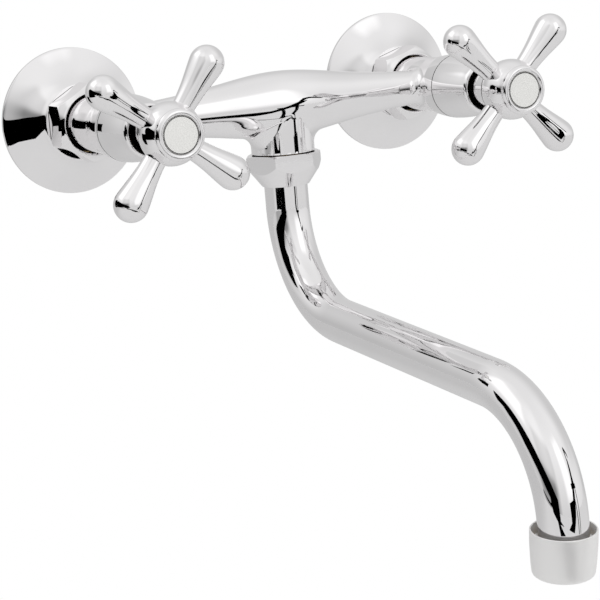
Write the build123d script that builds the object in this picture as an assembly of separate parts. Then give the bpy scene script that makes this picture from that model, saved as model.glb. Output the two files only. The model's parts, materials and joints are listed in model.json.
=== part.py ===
from build123d import *
import math
import os

os.makedirs("parts", exist_ok=True)

# Frame in mm: wall plane y = 0, the tap stands out towards -Y, up is +Z,
# hot valve at -X, cold valve at +X, both valve axes at z = 0.
# A value ending in _t is a distance from the wall along a valve axis.

# Shared clearances and edge breaks
thread_play = 0.05
running_fit = 0.05
joint_gap = 0.4
seam = 0.3
edge_break = 0.5

# Spacing of the two valves
inlet_centres = 150.0
side_sign = {"hot": -1, "cold": 1}

# Wall union
wall_thread_r = 10.48
wall_thread_depth = 15.0
union_bore_r = 6.0
union_relief = 1.3
union_relief_length = 5.0

# Wall flange
flange_r = 30.1
flange_height = 12.6
flange_rim = 1.6
flange_sheet = 1.3
flange_front_wall = 2.8
flange_hub_length = 4.0
flange_curve = [(0.0, 0.0), (0.33, 0.24), (0.69, 0.56), (0.915, 0.85), (1.0, 1.0)]

# Union nut, its washer and the bush that it pulls on
nut_length = 14.0
nut_wall = 1.2
nut_lip_length = 5.0
nut_lip_width = 1.05
nut_neck_gap = 0.35
nut_nose = [(0.1, 3.8), (-0.75, 2.6), (-2.18, 1.35), (-3.33, 0.0)]
nut_turn = {"hot": 30.0, "cold": 17.0}
washer_thick = 2.0
bush_collar = 1.5
bush_thread_length = 11.0
bush_key_flats = 9.6
bush_key_depth = 6.0

# Valve barrel
neck_r = 11.5
neck_length = 21.5
neck_wall = 2.45
barrel_end_r = 13.3
barrel_end_wall = 3.3
barrel_swell = [(0.21, 0.19), (0.45, 0.53), (0.74, 0.86)]
groove_offset = 4.0
groove_depth = 0.35
seat_offset = 3.5
seat_bore_r = 5.0
seat_crown = 1.1
seat_slope = 0.5
chamber_relief = 1.45
waterway_gap = 0.3
bonnet_thread_length = 9.3
barrel_fillet = 4.0

# Crossbar and the boss for the spout
bar_mid_r = 13.7
bar_end_r = 6.8
bar_taper = [(0.0, 0.0), (0.133, 0.072), (0.4, 0.478), (0.667, 0.812), (0.88, 0.971), (1.0, 1.0)]
boss_r = 13.1
boss_length = 19.6
boss_fillet = 6.0
spigot_step = 1.4
spigot_length = 6.4

# Bonnet
bonnet_height = 18.3
bonnet_top_r = 7.0
bonnet_hex_height = 4.9
bonnet_hex_gap = 0.75
bonnet_seal_thick = 0.8
guide_depth = 2.7

# Spindle, its seals and its clip
spindle_r = 4.0
spindle_collar = 1.4
spindle_collar_height = 2.2
collar_gap = 0.2
tip_gap = 0.3
screw_step = 0.6
square_side = 5.6
square_offset = 3.2
spindle_inset = 2.0
seal_spots = (4.0, 8.0)
seal_groove = 2.0
seal_depth = 1.4
clip_seat = 0.35
clip_thick = 0.9
clip_room = 0.95
clip_groove_depth = 0.65
clip_width = 2.1
clip_mouth = 3.6

# Jumper with its rubber disc and screw
valve_lift = 5.3
lift_room = 2.3
jumper_gap = 0.15
jumper_room = 0.7
jumper_floor = 1.6
jumper_plate_gap = 0.9
jumper_plate_thick = 2.4
jumper_disc_thick = 2.95
seat_gap = 0.05
jumper_screw_r = 1.5
jumper_screw_head_r = 3.1
jumper_screw_head = 1.65
slot_width = 0.8
slot_depth = 0.7

# Shroud
shroud_wall = 1.25
shroud_cover = 2.2
shroud_web = 3.0
shroud_front_rim = 0.45
shroud_curve = [(0.15, 0.05), (0.35, 0.17), (0.58, 0.36), (0.78, 0.57), (0.91, 0.71), (0.99, 0.9)]

# Cross handle
handle_neck_r = 8.0
handle_neck_gap = 1.4
handle_skirt_wall = 1.8
hub_r = 12.2
hub_reach = 20.2
hub_face = 7.5
hub_back = 9.0
neck_into_hub = 4.0
arm_offset = 1.5
arm_reach = 30.3
arm_ball_r = 6.7
arm_root_r = 4.3
arm_waist = 0.25
arm_count = 4
arm_turn = {"hot": 53.9, "cold": 45.6}
handle_screw_r = 1.6
handle_screw_head_r = 3.6
handle_screw_head = 2.4
handle_screw_length = 12.1
screw_seat_offset = 0.6

# Index cap and disc
cap_lip = 0.18
cap_height = 2.75
cap_plug_wall = 0.85
cap_recess_wall = 2.2
bezel_width = 2.75
disc_thick = 0.65

# Spout nut and the bearing stack inside it
spout_nut_flats = 28.0
spout_nut_turn = -8.8
spout_nut_side = 4.6
spout_nut_foot = 3.3
spout_nut_gap = 0.35
upper_washer_thick = 1.5
split_ring_thick = 1.4
lower_washer_thick = 0.9
split_ring_depth = 0.9
split_ring_mouth = 2.4
slip_gap = 0.05

# Spout tube and its tail
tube_r = 9.0
tube_wall = 1.0
tube_top_gap = 1.0
tube_drop = 11.0
bend_a_r = 43.9
bend_a_deg = 86.2
run_length = 110.8
bend_b_r = 44.0
bend_b_deg = 92.5
end_length = 6.4
swivel_fit = 0.07
tail_top_z = -4.2
tail_bore_r = 5.4
tail_socket = 7.0
tail_seal_spots = (5.0, 11.0)
tail_seal_cord = 0.8
tail_seal_groove = 2.4

# Aerator, measured along the outlet from its open top rim
rim_above_bend = 4.1
aerator_r = 11.85
aerator_rim_wall = 0.65
sleeve_taper = [(0.22, 0.0), (0.42, 0.13), (0.62, 0.32), (0.8, 0.55), (0.91, 0.78), (0.972, 1.15)]
aerator_well = 4.5
bush_wall = 1.12
aerator_thread_length = 5.2
flat_seal_thick = 0.55
screen_thick = 0.35
insert_thick = 3.4
insert_r = 9.7
foot_lip = 1.9
foot_r = 9.8
foot_bore_r = 8.3
insert_hole_r = 1.15
insert_pitch = 3.25
screen_hole_r = 0.7
screen_pitch = 2.2

# Radii that follow from a neighbour
nut_lip_r = neck_r + nut_neck_gap
union_thread_r = nut_lip_r + nut_lip_width
nut_corner_r = 2 * (union_thread_r + nut_wall) / math.sqrt(3)
bush_r = neck_r - neck_wall - thread_play
bush_bore_r = bush_key_flats / math.sqrt(3) + 0.05
bonnet_thread_r = barrel_end_r - barrel_end_wall - thread_play
chamber_r = bonnet_thread_r - chamber_relief
jumper_plate_r = chamber_r - jumper_plate_gap
jumper_disc_r = seat_bore_r + seat_crown + seat_slope
guide_flats = 2 * (spindle_r + spindle_collar + collar_gap)
screw_r = spindle_r - screw_step
shroud_mouth_r = handle_neck_r + handle_neck_gap
shroud_front_r = shroud_mouth_r + shroud_front_rim
cap_r = math.sqrt(hub_r**2 - hub_face**2) + cap_lip
recess_r = cap_r - cap_recess_wall
disc_r = cap_r - bezel_width
spigot_r = boss_r - spigot_step
spout_bore_r = tube_r + swivel_fit
tail_groove_r = spout_bore_r - 2 * tail_seal_cord - 0.1

# Distances from the wall, each built on the one before it
nut_back_t = flange_height + joint_gap
nut_front_t = nut_back_t + nut_length
neck_back_t = nut_front_t - nut_lip_length
bush_back_t = neck_back_t - bush_collar
union_face_t = bush_back_t - washer_thick
bar_t = neck_back_t + neck_length
seat_t = bar_t - seat_offset
jumper_plate_t = seat_t + jumper_disc_thick + seat_gap
jumper_plate_top_t = jumper_plate_t + jumper_plate_thick
chamber_end_t = jumper_plate_top_t + valve_lift + lift_room
barrel_end_t = chamber_end_t + bonnet_thread_length
guide_end_t = barrel_end_t + guide_depth
collar_back_t = guide_end_t - spindle_collar_height - collar_gap
jumper_top_t = collar_back_t - valve_lift - jumper_room
jumper_bore_t = jumper_plate_top_t + jumper_floor
spindle_tip_t = jumper_bore_t + valve_lift + tip_gap
bonnet_top_t = barrel_end_t + bonnet_height
clip_t = bonnet_top_t + clip_seat
handle_back_t = clip_t + clip_thick + clip_room
shroud_back_t = barrel_end_t + seam
shroud_front_t = handle_back_t + shroud_cover
square_t = handle_back_t + square_offset
hub_t = handle_back_t + hub_reach
arm_t = hub_t - arm_offset
hub_face_t = hub_t + hub_face
spindle_end_t = hub_t - spindle_inset
screw_seat_t = hub_t + screw_seat_offset

# Heights of the boss and of the stack in the spout nut
boss_end_z = -boss_length
spigot_end_z = boss_end_z - spigot_length
spout_nut_top_z = boss_end_z - joint_gap
upper_washer_z = spigot_end_z - slip_gap
split_ring_z = upper_washer_z - upper_washer_thick - slip_gap
lower_washer_z = split_ring_z - split_ring_thick - slip_gap
shoulder_z = lower_washer_z - lower_washer_thick - slip_gap
spout_nut_foot_z = shoulder_z - spout_nut_foot
tube_top_z = shoulder_z - tube_top_gap

# Distances along the outlet
tube_end = rim_above_bend + end_length
screen_start = tube_end + flat_seal_thick
insert_start = screen_start + screen_thick
insert_end = insert_start + insert_thick
aerator_length = insert_end + foot_lip


def lathe(*points):
    """Solid of revolution about Z from a closed (radius, height) outline."""
    outline = Plane.XZ * Polyline(*points, close=True)
    return revolve(make_face(outline), Axis.Z)


def lathe_curve(curve_points, *rest):
    """Revolved outline whose first stretch is a spline, closed by straight lines."""
    curve = Spline(*curve_points)
    lines = Polyline(curve_points[-1], *rest, curve_points[0])
    face = make_face(Plane.XZ * (Curve() + [curve, lines]))
    return revolve(face, Axis.Z)


def disc(radius, z0, z1):
    """Cylinder about Z between two heights."""
    low, high = sorted((z0, z1))
    return Pos(0, 0, low) * Cylinder(radius, high - low, align=(Align.CENTER, Align.CENTER, Align.MIN))


def ring(outer, inner, z0, z1):
    """Plain ring about Z."""
    low, high = sorted((z0, z1))
    return disc(outer, low, high) - disc(inner, low - 1, high + 1)


def hexagon(flats, z0, z1, turn=0.0):
    """Hexagonal prism about Z with a given size across flats."""
    sketch = Rot(0, 0, turn) * RegularPolygon(flats / math.sqrt(3), 6)
    return Pos(0, 0, z0) * extrude(sketch, z1 - z0)


def square_bar(side, z0, z1):
    """Square bar about Z between two heights."""
    return Pos(0, 0, z0) * Box(side, side, z1 - z0, align=(Align.CENTER, Align.CENTER, Align.MIN))


def between(a, b, share):
    """Value a given share of the way from a to b."""
    return a + (b - a) * share


def valve_place(side):
    """Location whose Z runs out of the wall along one valve axis."""
    x = side_sign[side] * inlet_centres / 2
    return Location(Plane(origin=(x, 0, 0), x_dir=(1, 0, 0), z_dir=(0, -1, 0)))


def save(node, part):
    """Write one node's STEP file."""
    solids = list(part.solids())
    shape = solids[0] if len(solids) == 1 else Compound(children=solids)
    shape.label = node
    export_step(shape, os.path.join("parts", node + ".step"))


def wall_union():
    """Straight union screwed into the wall elbow, with the thread the nut runs on."""
    relief_r = union_thread_r - union_relief
    chamfer_size = 0.8
    return lathe(
        (union_bore_r, -wall_thread_depth),
        (wall_thread_r - chamfer_size, -wall_thread_depth),
        (wall_thread_r, -wall_thread_depth + chamfer_size),
        (wall_thread_r, 0.0),
        (relief_r, chamfer_size),
        (relief_r, union_relief_length),
        (union_thread_r, union_relief_length + 1.0),
        (union_thread_r, union_face_t - chamfer_size),
        (union_thread_r - chamfer_size, union_face_t),
        (union_bore_r, union_face_t),
    )


def wall_flange():
    """Thin cone that hides the hole in the wall, screwed on the union."""
    front_r = union_thread_r + flange_front_wall
    rim = (flange_r - 0.5, flange_rim + 0.3)
    front = (front_r, flange_height - 0.3)
    curve = [(between(rim[0], front[0], a), between(rim[1], front[1], b)) for a, b in flange_curve]
    under = [(r - 0.8, h - flange_sheet) for r, h in (curve[2], curve[1])]
    inner_r = union_thread_r + thread_play
    hub_back_t = flange_height - flange_hub_length
    return lathe_curve(
        curve,
        (front_r - 0.4, flange_height),
        (inner_r, flange_height),
        (inner_r, hub_back_t),
        (front_r - 1.1, hub_back_t),
        *under,
        (flange_r - flange_sheet, 0.7),
        (flange_r - flange_sheet, 0.0),
        (flange_r, 0.0),
        (flange_r, flange_rim),
    )


def union_nut(turn):
    """Hexagonal nut with a rounded front and an inner lip."""
    envelope = lathe_curve(
        [(nut_corner_r + dr, nut_front_t - back) for dr, back in nut_nose],
        (0.0, nut_front_t),
        (0.0, nut_back_t),
        (nut_corner_r - 1.3, nut_back_t),
        (nut_corner_r + 0.1, nut_back_t + 0.8),
    )
    flats = nut_corner_r * math.sqrt(3)
    body = hexagon(flats, nut_back_t, nut_front_t, turn) & envelope
    thread_r = union_thread_r + thread_play
    mouth_r = nut_lip_r + 0.75
    bore = lathe(
        (0, nut_back_t - 1),
        (thread_r, nut_back_t - 1),
        (thread_r, neck_back_t),
        (nut_lip_r, neck_back_t),
        (nut_lip_r, nut_front_t - 1.2),
        (mouth_r, nut_front_t - 0.1),
        (mouth_r, nut_front_t + 1),
        (0, nut_front_t + 1),
    )
    return body - bore


def inlet_washer():
    """Flat seal between union and bush."""
    return ring(union_thread_r - 0.5, union_bore_r + 0.5, union_face_t, bush_back_t)


def inlet_bush():
    """Collared bush screwed into the neck, which the union nut pulls on."""
    collar_r = union_thread_r - 0.2
    bush_end_t = neck_back_t + bush_thread_length
    body = lathe(
        (bush_bore_r, bush_back_t),
        (collar_r, bush_back_t),
        (collar_r, neck_back_t),
        (bush_r, neck_back_t),
        (bush_r, bush_end_t - edge_break),
        (bush_r - edge_break, bush_end_t),
        (bush_bore_r, bush_end_t),
    )
    return body - hexagon(bush_key_flats + 2.0, bush_back_t - 1, bush_back_t + bush_key_depth)


def barrel_outside():
    """Outside of one valve barrel, from the neck's end to the shroud seam."""
    swell = barrel_end_r - neck_r
    length = barrel_end_t - joint_gap - bar_t
    curve = [(neck_r, neck_back_t), (neck_r, neck_back_t + 0.37 * neck_length)]
    curve.append((neck_r + 0.03 * swell, neck_back_t + 0.74 * neck_length))
    curve += [(neck_r + swell * b, bar_t + length * a) for a, b in barrel_swell]
    barrel = lathe_curve(
        curve + [(barrel_end_r, barrel_end_t - joint_gap)],
        (barrel_end_r - 0.3, barrel_end_t),
        (0, barrel_end_t),
        (0, neck_back_t),
    )
    return Rot(0, 0, 90) * barrel


def barrel_groove(side):
    """Fine turned line around the outer half of one barrel."""
    groove_t = bar_t + groove_offset
    middle_r = neck_r + 0.19 * (barrel_end_r - neck_r)
    deep_r = middle_r - groove_depth + 0.05
    wide_r = middle_r + 1.0
    half = 0.35
    cut = lathe((deep_r, groove_t), (wide_r, groove_t - half), (wide_r, groove_t + half))
    reach = 2 * barrel_end_r
    return cut & (Pos(side_sign[side] * (reach / 2 - 3), 0, groove_t) * Box(reach, 2 * reach, 2))


def barrel_inside():
    """Waterway, seat, chamber and bonnet thread of one valve barrel."""
    neck_bore_r = bush_r + thread_play
    neck_bore_t = neck_back_t + bush_thread_length + 0.5
    thread_r = bonnet_thread_r + thread_play
    crown_r = seat_bore_r + seat_crown
    moat_t = seat_t - 0.8
    return lathe(
        (0, neck_back_t - 1),
        (neck_bore_r, neck_back_t - 1),
        (neck_bore_r, neck_bore_t),
        (seat_bore_r + 1, neck_bore_t),
        (seat_bore_r + 1, seat_t - 2.0),
        (seat_bore_r, seat_t - 1.2),
        (seat_bore_r, seat_t),
        (crown_r, seat_t),
        (crown_r + seat_slope, moat_t),
        (chamber_r, moat_t),
        (chamber_r, chamber_end_t),
        (thread_r, chamber_end_t),
        (thread_r, barrel_end_t + 1),
        (0, barrel_end_t + 1),
    )


def crossbar():
    """Bar between the valves, thickest in the middle, along X."""
    half = inlet_centres / 2
    right = [(between(bar_mid_r, bar_end_r, b), half * a) for a, b in bar_taper]
    outline = [(r, -x) for r, x in reversed(right[1:])] + right
    curve = Spline(*outline)
    ends = Polyline((bar_end_r, half), (0, half), (0, -half), (bar_end_r, -half))
    bar = revolve(make_face(Plane.XZ * (Curve() + [curve, ends])), Axis.Z)
    return Location(Plane(origin=(0, -bar_t, 0), x_dir=(0, 0, 1), z_dir=(1, 0, 0))) * bar


def mixer_body():
    """Casting: two valve barrels, the crossbar between them and the spout boss."""
    down = Pos(0, -bar_t, 0) * Rot(0, 0, 90)
    bar = crossbar()
    boss = down * disc(boss_r, boss_end_z, 0)
    core = bar + boss
    core = fillet(new_edges(bar, boss, combined=core), boss_fillet)
    for side in side_sign:
        barrel = valve_place(side) * barrel_outside()
        joined = core + barrel
        core = fillet(new_edges(core, barrel, combined=joined), barrel_fillet)
    core = core + down * disc(spigot_r, spigot_end_z, boss_end_z)
    for side in side_sign:
        core = core - valve_place(side) * barrel_inside()
        core = core - valve_place(side) * barrel_groove(side)
    half = inlet_centres / 2
    across = Location(Plane(origin=(-half, -bar_t, 0), x_dir=(0, 1, 0), z_dir=(1, 0, 0)))
    waterway_r = seat_offset - waterway_gap
    spout_bore_top_z = tail_top_z + 1.2
    core = core - across * disc(waterway_r, 0, inlet_centres)
    core = core - down * disc(spout_bore_r, spigot_end_z - 1, spout_bore_top_z)
    return core - down * disc(tail_bore_r, spout_bore_top_z - 1, 0)


def bonnet():
    """Headwork body with a hexagonal guide for the jumper and a spindle bore."""
    back_t = chamber_end_t + 0.2
    shelf_t = barrel_end_t + bonnet_seal_thick
    hex_top_t = shelf_t + bonnet_hex_height
    hex_r = barrel_end_r - shroud_wall - bonnet_hex_gap
    outside = lathe(
        (0, back_t),
        (bonnet_thread_r - edge_break, back_t),
        (bonnet_thread_r, back_t + edge_break),
        (bonnet_thread_r, shelf_t),
        (bonnet_top_r, shelf_t),
        (bonnet_top_r, bonnet_top_t - edge_break),
        (bonnet_top_r - edge_break, bonnet_top_t),
        (0, bonnet_top_t),
    )
    corners = lathe(
        (0, shelf_t),
        (hex_r, shelf_t),
        (hex_r, hex_top_t - 1.0),
        (hex_r - 1.0, hex_top_t),
        (0, hex_top_t),
    )
    body = outside + (hexagon(hex_r * math.sqrt(3), shelf_t, hex_top_t) & corners)
    body = body - hexagon(guide_flats, back_t - 1, guide_end_t)
    return body - disc(spindle_r + running_fit, guide_end_t - 1, bonnet_top_t + 1)


def bonnet_seal():
    """Flat seal under the bonnet's hexagon."""
    outer_r = barrel_end_r - shroud_wall - bonnet_hex_gap
    inner_r = bonnet_thread_r + 2 * thread_play
    return ring(outer_r, inner_r, barrel_end_t, barrel_end_t + bonnet_seal_thick)


def spindle():
    """Spindle with a screw, a collar, two seal grooves, a clip groove and a square end."""
    collar_r = spindle_r + spindle_collar
    collar_top_t = collar_back_t + spindle_collar_height
    body = lathe(
        (0, spindle_tip_t),
        (screw_r - 0.4, spindle_tip_t),
        (screw_r, spindle_tip_t + 0.4),
        (screw_r, collar_back_t),
        (collar_r, collar_back_t),
        (collar_r, collar_top_t),
        (spindle_r, collar_top_t),
        (spindle_r, square_t),
        (0, square_t),
    )
    for spot in seal_spots:
        middle = guide_end_t + spot
        cut = ring(spindle_r + 1, spindle_r - seal_depth, middle - seal_groove / 2, middle + seal_groove / 2)
        body = body - cut
    body = body - ring(spindle_r + 1, spindle_r - clip_groove_depth, clip_t - 0.05, clip_t + clip_thick + 0.05)
    square = square_bar(square_side, square_t, spindle_end_t) & disc(spindle_r - 0.3, square_t, spindle_end_t)
    tapped_t = spindle_end_t - handle_screw_length + 0.1
    return body + square - disc(handle_screw_r + thread_play, tapped_t, spindle_end_t + 1)


def spindle_o_rings():
    """Two seals on the spindle."""
    middle_r = spindle_r - seal_depth / 2 + running_fit / 2
    cord_r = seal_depth / 2 - 0.02
    seals = [Pos(0, 0, guide_end_t + spot) * Torus(middle_r, cord_r) for spot in seal_spots]
    return Compound(children=seals)


def spindle_circlip():
    """Open clip that holds the spindle in the bonnet."""
    inner_r = spindle_r - clip_groove_depth + 0.05
    clip = ring(inner_r + clip_width, inner_r, clip_t, clip_t + clip_thick)
    mouth = Pos(inner_r + clip_width / 2, 0, clip_t) * Box(clip_width * 2, clip_mouth, clip_thick * 3)
    return clip - mouth


def jumper():
    """Valve carrier: hexagonal stem on the spindle's screw, and a plate."""
    stem = hexagon(guide_flats - 2 * jumper_gap, jumper_plate_top_t - 0.1, jumper_top_t)
    body = stem + disc(jumper_plate_r, jumper_plate_t, jumper_plate_top_t)
    body = body - disc(screw_r + running_fit, jumper_bore_t, jumper_top_t + 1)
    return body - disc(jumper_screw_r + thread_play, jumper_plate_t - 1, jumper_bore_t - 0.4)


def jumper_washer():
    """Rubber disc that closes on the seat."""
    inner_r = jumper_screw_r + 2 * thread_play
    return ring(jumper_disc_r, inner_r, jumper_plate_t - jumper_disc_thick, jumper_plate_t)


def jumper_screw():
    """Small screw that holds the rubber disc."""
    under_head_t = jumper_plate_t - jumper_disc_thick
    face_t = under_head_t - jumper_screw_head
    head = lathe(
        (0, face_t),
        (jumper_screw_head_r - 0.5, face_t),
        (jumper_screw_head_r, face_t + 0.5),
        (jumper_screw_head_r, under_head_t),
        (0, under_head_t),
    )
    body = head + disc(jumper_screw_r, under_head_t - 0.05, jumper_bore_t - 0.8)
    return body - Pos(0, 0, face_t) * Box(jumper_screw_head_r * 3, slot_width, slot_depth * 2)


def shroud():
    """Chromed bell over the headwork, screwed on the bonnet, with an open front."""
    length = shroud_front_t - shroud_back_t
    curve = [(barrel_end_r, shroud_back_t + 0.5)]
    for a, b in shroud_curve:
        curve.append((between(barrel_end_r, shroud_front_r, b), shroud_back_t + length * a))
    curve.append((shroud_front_r, shroud_front_t))
    web_front_t = bonnet_top_t - 1.2
    web_back_t = web_front_t - shroud_web
    web_r = bonnet_top_r + thread_play
    shoulder_r = between(barrel_end_r, shroud_front_r, 0.36) - shroud_wall
    waist_r = between(barrel_end_r, shroud_front_r, 0.17) - shroud_wall
    return lathe_curve(
        curve,
        (shroud_mouth_r + 0.15, shroud_front_t),
        (shroud_mouth_r, shroud_front_t - 0.2),
        (shroud_mouth_r, web_front_t),
        (web_r, web_front_t),
        (web_r, web_back_t),
        (shoulder_r, web_back_t - 0.4),
        (waist_r, shroud_back_t + 0.33 * length),
        (barrel_end_r - shroud_wall, shroud_back_t + 1.4),
        (barrel_end_r - shroud_wall, shroud_back_t),
        (barrel_end_r - 0.2, shroud_back_t),
    )


def handle_arm():
    """One tapering arm with a ball end, along X from the hub's centre."""
    lean = math.asin((arm_ball_r - arm_root_r) / (arm_reach - hub_r))
    touch_r = arm_ball_r * math.cos(lean)
    touch_x = arm_reach - arm_ball_r * math.sin(lean)
    root = (arm_root_r, hub_r - 1.6)
    middle_x = between(hub_r, touch_x, 0.45)
    middle_r = between(arm_root_r, touch_r, 0.45) - arm_waist
    tip = (0, arm_reach + arm_ball_r)
    taper = Spline(root, (middle_r, middle_x), (touch_r, touch_x), tangents=[(0.05, 1), (math.tan(lean), 1)])
    cheek = (arm_ball_r * math.cos(0.6), arm_reach + arm_ball_r * math.sin(0.6))
    ball = ThreePointArc((touch_r, touch_x), cheek, tip)
    close = Polyline(tip, (0, 3.0), (arm_root_r, 3.0), root)
    arm = revolve(make_face(Plane.XZ * (Curve() + [taper, ball, close])), Axis.Z)
    return Location(Plane(origin=(0, 0, arm_t), x_dir=(0, 1, 0), z_dir=(1, 0, 0))) * arm


def cross_handle(turn):
    """Hub with a round neck and its arms."""
    hub = Pos(0, 0, hub_t) * Sphere(hub_r)
    hub = hub & disc(hub_r + 1, hub_t - hub_back, hub_face_t)
    neck = lathe(
        (0, handle_back_t),
        (handle_neck_r - edge_break, handle_back_t),
        (handle_neck_r, handle_back_t + edge_break),
        (handle_neck_r, hub_t - hub_back + neck_into_hub),
        (0, hub_t - hub_back + neck_into_hub),
    )
    body = hub + neck
    for k in range(arm_count):
        body = body + Rot(0, 0, turn + 360 / arm_count * k) * handle_arm()
    hole_t = square_t + 1.0
    body = body - disc(handle_neck_r - handle_skirt_wall, handle_back_t - 1, hole_t + 1.0)
    body = body - square_bar(square_side + 2 * running_fit, hole_t, spindle_end_t + 0.3)
    body = body - disc(handle_screw_r + 0.6, spindle_end_t - 1, hub_face_t)
    return body - disc(recess_r, screw_seat_t, hub_face_t + 1)


def handle_screw():
    """Screw that holds the handle on the spindle."""
    tip_t = screw_seat_t - handle_screw_length
    top_t = screw_seat_t + handle_screw_head
    body = lathe(
        (0, tip_t),
        (handle_screw_r - 0.4, tip_t),
        (handle_screw_r, tip_t + 0.4),
        (handle_screw_r, screw_seat_t),
        (handle_screw_head_r, screw_seat_t),
        (handle_screw_head_r, top_t - 0.8),
        (handle_screw_head_r - 0.7, top_t),
        (0, top_t),
    )
    slot = Pos(0, 0, top_t) * Box(handle_screw_head_r * 1.3, slot_width, slot_depth * 3)
    return body - slot - Rot(0, 0, 90) * slot


def index_cap():
    """Chromed bezel pushed into the hub, with a seat for the disc."""
    top_t = hub_face_t + cap_height
    floor_t = top_t - 1.15
    seat_r = disc_r + 0.08
    plug_r = recess_r - running_fit
    return lathe_curve(
        [
            (cap_r - 0.15, hub_face_t + 0.25),
            (cap_r + 0.05, hub_face_t + 0.33 * cap_height),
            (cap_r - 0.25, hub_face_t + 0.73 * cap_height),
            (cap_r - 1.05, top_t - 0.05),
            (cap_r - 1.8, top_t),
            (seat_r + 0.27, top_t - 0.45),
            (seat_r, top_t - 0.95),
        ],
        (seat_r, floor_t),
        (0, floor_t),
        (0, floor_t - 0.8),
        (plug_r - cap_plug_wall, floor_t - 0.8),
        (plug_r - cap_plug_wall, hub_face_t - 3.0),
        (plug_r - 0.25, hub_face_t - 3.0),
        (plug_r, hub_face_t - 2.7),
        (plug_r, hub_face_t),
        (cap_r - 0.4, hub_face_t + 0.02),
    )


def index_disc():
    """Round index plate, plain."""
    floor_t = hub_face_t + cap_height - 1.15
    face_t = floor_t + disc_thick
    return lathe(
        (0, floor_t),
        (disc_r, floor_t),
        (disc_r, face_t - 0.2),
        (disc_r - 0.2, face_t),
        (0, face_t),
    )


def spout_nut():
    """Short hexagonal nut with a conical foot around the tube."""
    corner_r = spout_nut_flats / math.sqrt(3)
    hole_r = tube_r + spout_nut_gap
    top_z = spout_nut_top_z
    foot_z = spout_nut_foot_z
    envelope = lathe(
        (0, foot_z),
        (hole_r + 0.4, foot_z),
        (hole_r + 0.65, foot_z + 0.3),
        (corner_r, top_z - spout_nut_side),
        (corner_r, top_z - 0.9),
        (corner_r - 1.6, top_z),
        (0, top_z),
    )
    body = hexagon(spout_nut_flats, foot_z, top_z, spout_nut_turn) & envelope
    body = body - disc(spigot_r + thread_play, shoulder_z, top_z + 1)
    return body - disc(hole_r, foot_z - 1, shoulder_z + 1)


def spout_tail():
    """Turned tail of the spout that swivels in the boss."""
    body = lathe(
        (tail_bore_r, tail_top_z),
        (tube_r - 1.2, tail_top_z),
        (tube_r, tail_top_z - 1.2),
        (tube_r, tube_top_z),
        (tube_r - tube_wall - thread_play, tube_top_z),
        (tube_r - tube_wall - thread_play, tube_top_z - tail_socket),
        (tail_bore_r + 0.5, tube_top_z - tail_socket),
        (tail_bore_r, tube_top_z - tail_socket + 1.0),
    )
    for spot in tail_seal_spots:
        middle = tail_top_z - spot
        cut = ring(tube_r + 1, tail_groove_r, middle - tail_seal_groove / 2, middle + tail_seal_groove / 2)
        body = body - cut
    groove_end = split_ring_z - split_ring_thick - 0.1
    return body - ring(tube_r + 1, tube_r - split_ring_depth, groove_end, split_ring_z + 0.1)


def spout_o_rings():
    """Two seals on the spout tail."""
    middle_r = (spout_bore_r + tail_groove_r) / 2
    seals = [Pos(0, 0, tail_top_z - spot) * Torus(middle_r, tail_seal_cord) for spot in tail_seal_spots]
    return Compound(children=seals)


def spout_split_ring():
    """Open ring in the tail's groove that the nut holds up."""
    inner_r = tube_r - split_ring_depth + 0.05
    outer_r = spigot_r - 0.7
    body = ring(outer_r, inner_r, split_ring_z - split_ring_thick, split_ring_z)
    mouth = Box(2 * (outer_r - inner_r), split_ring_mouth, split_ring_thick * 3)
    return body - Pos((inner_r + outer_r) / 2, 0, split_ring_z) * mouth


def spout_washer(top_z, thick):
    """Plastic slip washer on one side of the split ring."""
    return ring(spigot_r - 0.3, tube_r + spout_nut_gap, top_z - thick, top_z)


def next_point(point, heading, radius, sweep):
    """Middle and end of an arc in the YZ plane, and the heading after it."""
    towards = math.copysign(math.pi / 2, sweep)
    cy = point[0] + radius * math.cos(heading + towards)
    cz = point[1] + radius * math.sin(heading + towards)
    at = []
    for share in (0.5, 1.0):
        angle = heading - towards + sweep * share
        at.append((cy + radius * math.cos(angle), cz + radius * math.sin(angle)))
    return at[0], at[1], heading + sweep


def ahead(point, heading, length):
    """Point a length further on in the YZ plane."""
    return (point[0] + length * math.cos(heading), point[1] + length * math.sin(heading))


def spout_path():
    """Centreline of the tube, its last bend's end and its last direction."""
    heading = math.radians(-90)
    p0 = (-bar_t, tube_top_z)
    p1 = ahead(p0, heading, tube_drop)
    m1, p2, heading = next_point(p1, heading, bend_a_r, -math.radians(bend_a_deg))
    p3 = ahead(p2, heading, run_length)
    m2, p4, heading = next_point(p3, heading, bend_b_r, math.radians(bend_b_deg))
    p5 = ahead(p4, heading, end_length)
    a0, a1, b1, a2, a3, b2, a4, a5 = [(0, y, z) for y, z in (p0, p1, m1, p2, p3, m2, p4, p5)]
    line = Curve() + [
        Line(a0, a1),
        ThreePointArc(a1, b1, a2),
        Line(a2, a3),
        ThreePointArc(a3, b2, a4),
        Line(a4, a5),
    ]
    return line, a4, (0, math.cos(heading), math.sin(heading))


def outlet_place():
    """Location whose Z runs down the outlet, starting at the aerator's top rim."""
    _, bend_end, way = spout_path()
    origin = tuple(bend_end[i] - rim_above_bend * way[i] for i in range(3))
    return Location(Plane(origin=origin, x_dir=(1, 0, 0), z_dir=way))


def spout_tube():
    """Bent round tube."""
    line, _, _ = spout_path()
    start = Plane(origin=(0, -bar_t, tube_top_z), x_dir=(1, 0, 0), z_dir=(0, 0, -1))
    outer = sweep(start * Circle(tube_r), path=line.wire())
    inner = sweep(start * Circle(tube_r - tube_wall), path=line.wire())
    return outer - inner


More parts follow.
